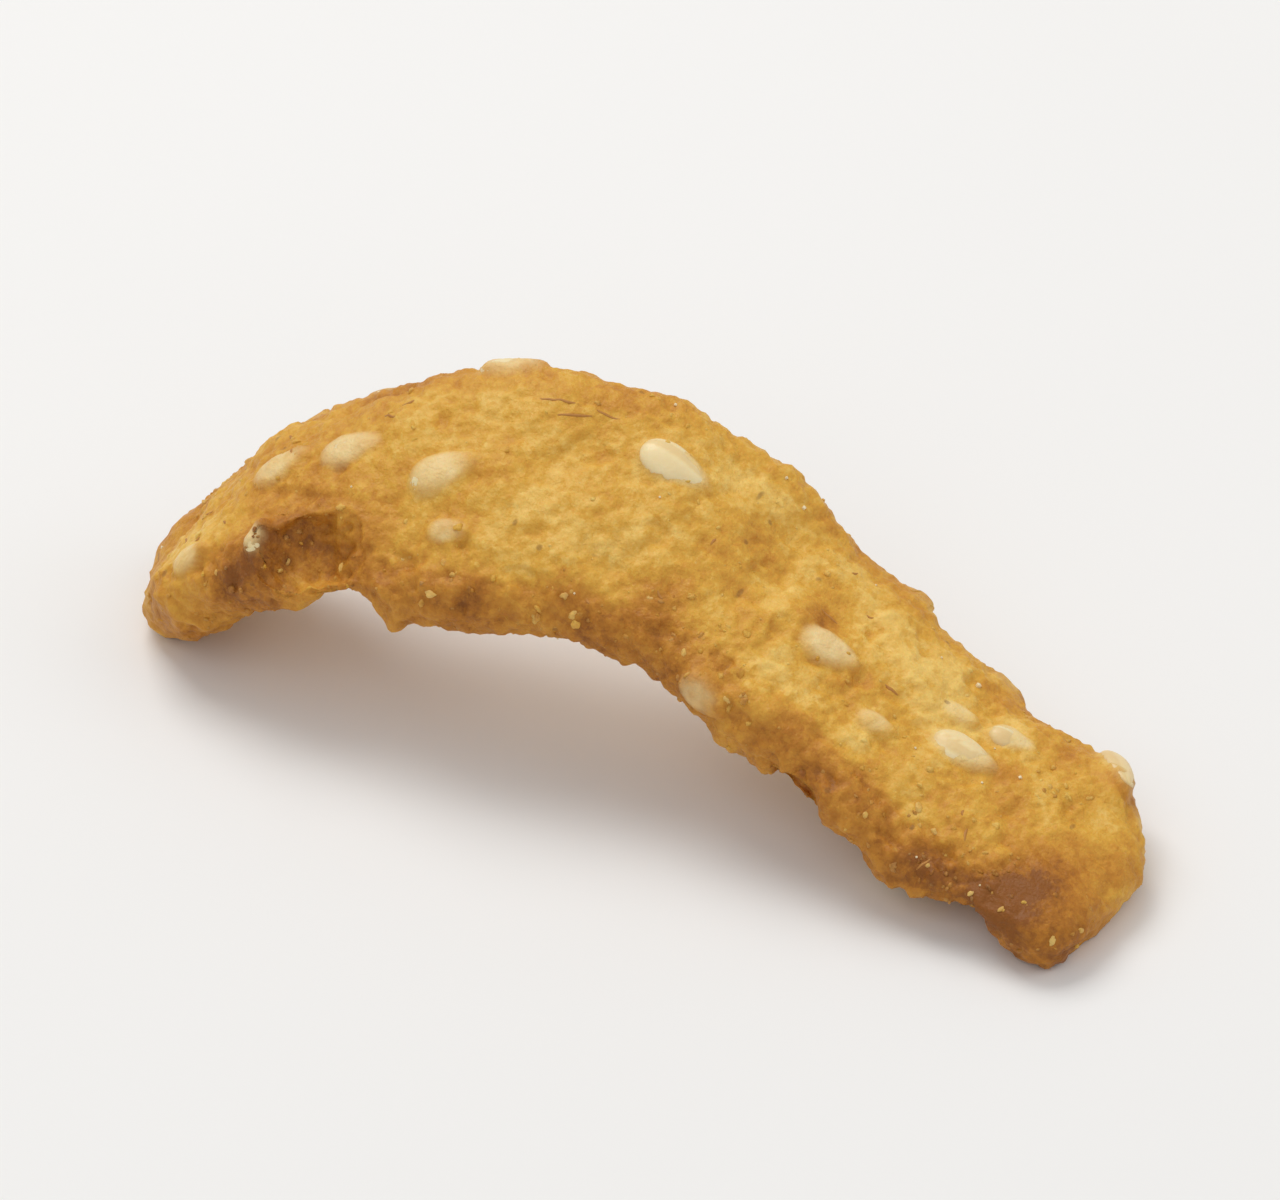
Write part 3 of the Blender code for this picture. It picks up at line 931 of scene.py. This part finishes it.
def dough_paint():
    """Fried dough: golden, browner down its edges, with painted shade low in its grain and in its
    hollows, and specks of bran.
    """
    paint = Paint("fried_dough")
    tone = paint.attribute("brown")
    for size, amount, shift in CRUST_NOISE:
        tone = paint.math("MULTIPLY_ADD", paint.noise(size, 3.0, shift), amount, tone)
    for size, amount, shift in CRUST_GRAINS:
        tone = paint.math("MULTIPLY_ADD", paint.grains(size, shift), amount, tone)
    crust = paint.ramp(tone, CRUST)
    film = paint.math("MULTIPLY_ADD", paint.noise(0.35, 2.0, 4.0), 0.7, 0.86)
    crust = paint.mix(paint.math("MULTIPLY", paint.attribute("pale"), film), crust, FILM_COLOUR)
    dark = paint.specks(1.5, 0.26, 0.30)
    for stretch, turn in STREAKS:
        dark = paint.math("MAXIMUM", dark, paint.specks(1.1, 0.2, 0.16, stretch, turn))
    crust = paint.mix(paint.math("MULTIPLY", dark, 0.45), crust, STREAK_COLOUR)
    paint.set("Base Color", crust)
    paint.set("Roughness", paint.math("MULTIPLY_ADD", paint.noise(0.5, 2.0, 6.0), 0.35, 0.5))
    paint.set("Specular IOR Level", 0.28)
    paint.set("Subsurface Weight", 0.14)
    paint.set("Subsurface Radius", (1.0, 0.5, 0.2))
    paint.set("Subsurface Scale", 0.7 * MILLIMETRE)
    fine = paint.math("MULTIPLY_ADD", paint.noise(0.13, 3.0, 7.0), 0.6, paint.noise(0.28, 3.0, 8.0))
    paint.bump(fine, 0.12, 0.7)
    return paint.material


def seed_paint():
    """Hulled sesame: cream, a little darker on some seeds and in patches."""
    paint = Paint("hulled_sesame")
    tone = paint.math("MULTIPLY_ADD", paint.noise(0.9, 2.0, 1.0), 0.6, paint.attribute("tone"))
    paint.set("Base Color", paint.ramp(tone, SEED_COLOURS))
    paint.set("Roughness", paint.math("MULTIPLY_ADD", paint.noise(0.3, 2.0, 2.0), 0.3, 0.42))
    paint.set("Subsurface Weight", 0.2)
    paint.set("Subsurface Radius", (1.0, 0.7, 0.4))
    paint.set("Subsurface Scale", 0.6 * MILLIMETRE)
    paint.bump(paint.noise(0.2, 3.0, 3.0), 0.05, 0.5)
    return paint.material


def salt_paint():
    """Salt, milky and tinged by the oil."""
    paint = Paint("salt")
    paint.set("Base Color", paint.mix(paint.math("ADD", paint.noise(0.3), 0.5), *SALT_COLOURS))
    paint.set("Roughness", paint.math("MULTIPLY_ADD", paint.noise(0.1), 0.2, 0.2))
    paint.set("Subsurface Weight", 0.3)
    paint.set("Subsurface Radius", (1.0, 0.9, 0.7))
    paint.set("Subsurface Scale", 0.3 * MILLIMETRE)
    return paint.material


def bran_paint():
    """Bran: dark brown, uneven."""
    paint = Paint("bran")
    paint.set("Base Color", paint.mix(paint.math("ADD", paint.noise(0.3), 0.5), *BRAN_COLOURS))
    paint.set("Roughness", paint.math("MULTIPLY_ADD", paint.noise(0.15), 0.3, 0.55))
    return paint.material


def floor_paint():
    """A plain pale surface."""
    paint = Paint("pale_floor")
    paint.set("Base Color", paint.mix(paint.math("ADD", paint.noise(40.0), 0.5), *FLOOR_COLOURS))
    paint.set("Roughness", 0.8)
    return paint.material


def toward(azimuth, elevation):
    """A direction from the object: azimuth 0 is its -Y side, and elevation is above the floor."""
    a = math.radians(azimuth)
    e = math.radians(elevation)
    return Vector((math.sin(a) * math.cos(e), -math.cos(a) * math.cos(e), math.sin(e)))


def add_lamp(name, azimuth, elevation, distance, size, power, colour):
    """A square soft light that faces the object."""
    lamp = bpy.data.lights.new(name, "AREA")
    lamp.size = size
    lamp.energy = power
    lamp.color = colour
    piece = bpy.data.objects.new(name, lamp)
    piece.location = toward(azimuth, elevation) * distance
    piece.rotation_euler = (-piece.location).to_track_quat("-Z", "Y").to_euler()
    bpy.context.scene.collection.objects.link(piece)


def make_studio():
    """Floor, lights and the plain bright surroundings."""
    bm = bmesh.new()
    bmesh.ops.create_grid(bm, x_segments=1, y_segments=1, size=1.5)
    mesh = bpy.data.meshes.new("floor")
    bm.to_mesh(mesh)
    bm.free()
    mesh.materials.append(floor_paint())
    floor = bpy.data.objects.new("floor", mesh)
    floor.location.z = -FLOOR_GAP
    bpy.context.scene.collection.objects.link(floor)
    world = bpy.data.worlds.new("studio")
    bpy.context.scene.world = world
    world.use_nodes = True
    world.node_tree.nodes["Background"].inputs["Color"].default_value = (1.0, 1.0, 1.0, 1.0)
    world.node_tree.nodes["Background"].inputs["Strength"].default_value = SURROUNDINGS
    for name, turn, elevation, distance, size, power, colour in LAMPS:
        add_lamp(name, CAMERA_AZIMUTH + turn, elevation, distance, size, power, colour)


def make_camera(low, high):
    """A long lens at the height the photograph was taken from."""
    data = bpy.data.cameras.new("camera")
    data.lens = CAMERA_LENS
    data.clip_start = 0.01
    data.clip_end = 10.0
    camera = bpy.data.objects.new("camera", data)
    centre = (low + high) / 2.0
    back = toward(CAMERA_AZIMUTH, CAMERA_ELEVATION)
    camera.location = centre + back * CAMERA_DISTANCE
    camera.rotation_euler = (-back).to_track_quat("-Z", "Y").to_euler()
    bpy.context.scene.collection.objects.link(camera)
    bpy.context.scene.camera = camera


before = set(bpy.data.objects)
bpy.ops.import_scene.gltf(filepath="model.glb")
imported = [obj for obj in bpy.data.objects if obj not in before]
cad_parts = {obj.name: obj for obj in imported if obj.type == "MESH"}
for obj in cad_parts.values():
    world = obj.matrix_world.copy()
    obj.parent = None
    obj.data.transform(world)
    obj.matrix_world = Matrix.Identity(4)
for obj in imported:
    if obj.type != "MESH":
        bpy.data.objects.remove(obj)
cad_low, cad_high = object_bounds()
bpy.context.scene.view_settings.view_transform = "Standard"
skin_mesh, seed_seats = make_dough()
skin_surface = surface_of(skin_mesh)
dough = dough_paint()
make_seeds(seed_seats, seed_paint())
make_crumbs(skin_mesh, skin_surface, dough)
make_salt(skin_mesh, salt_paint())
make_bran(skin_mesh, skin_surface, bran_paint())
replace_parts(place("dough_skin", skin_mesh, dough), NODE)
make_studio()
make_camera(cad_low, cad_high)
